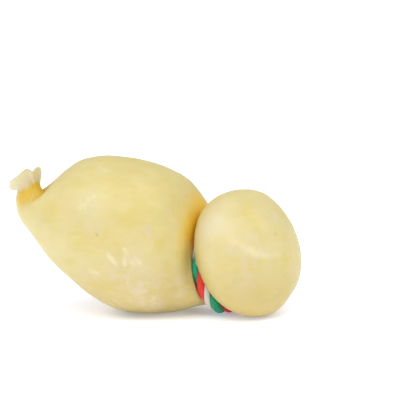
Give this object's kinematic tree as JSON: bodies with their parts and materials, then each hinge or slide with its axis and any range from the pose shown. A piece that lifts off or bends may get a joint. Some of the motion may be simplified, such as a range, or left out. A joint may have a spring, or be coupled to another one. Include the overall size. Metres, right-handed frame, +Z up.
{
  "type": "provolone cheese",
  "caption": "Small provolone lying on its side: a pear-shaped body with a pinched nub, a flattened ball-shaped head, and a thick twisted cord tied round the neck between them.",
  "frame": {"origin": "centre of the bounding box's underside, on the level that the cheese rests on", "axes": "+Z up; +X from the nub's end towards the head; the head is turned towards -Y"},
  "size_m": [0.146, 0.0767, 0.0795],
  "materials": {
    "cheese": "pale straw-yellow cheese skin, waxy, between satin and matt",
    "tie_cord": "soft three-strand twist in red, white and green, matt"
  },
  "bodies": {
    "root": {"cheese": "cheese", "tie_cord": "tie_cord"}
  },
  "joints": []
}
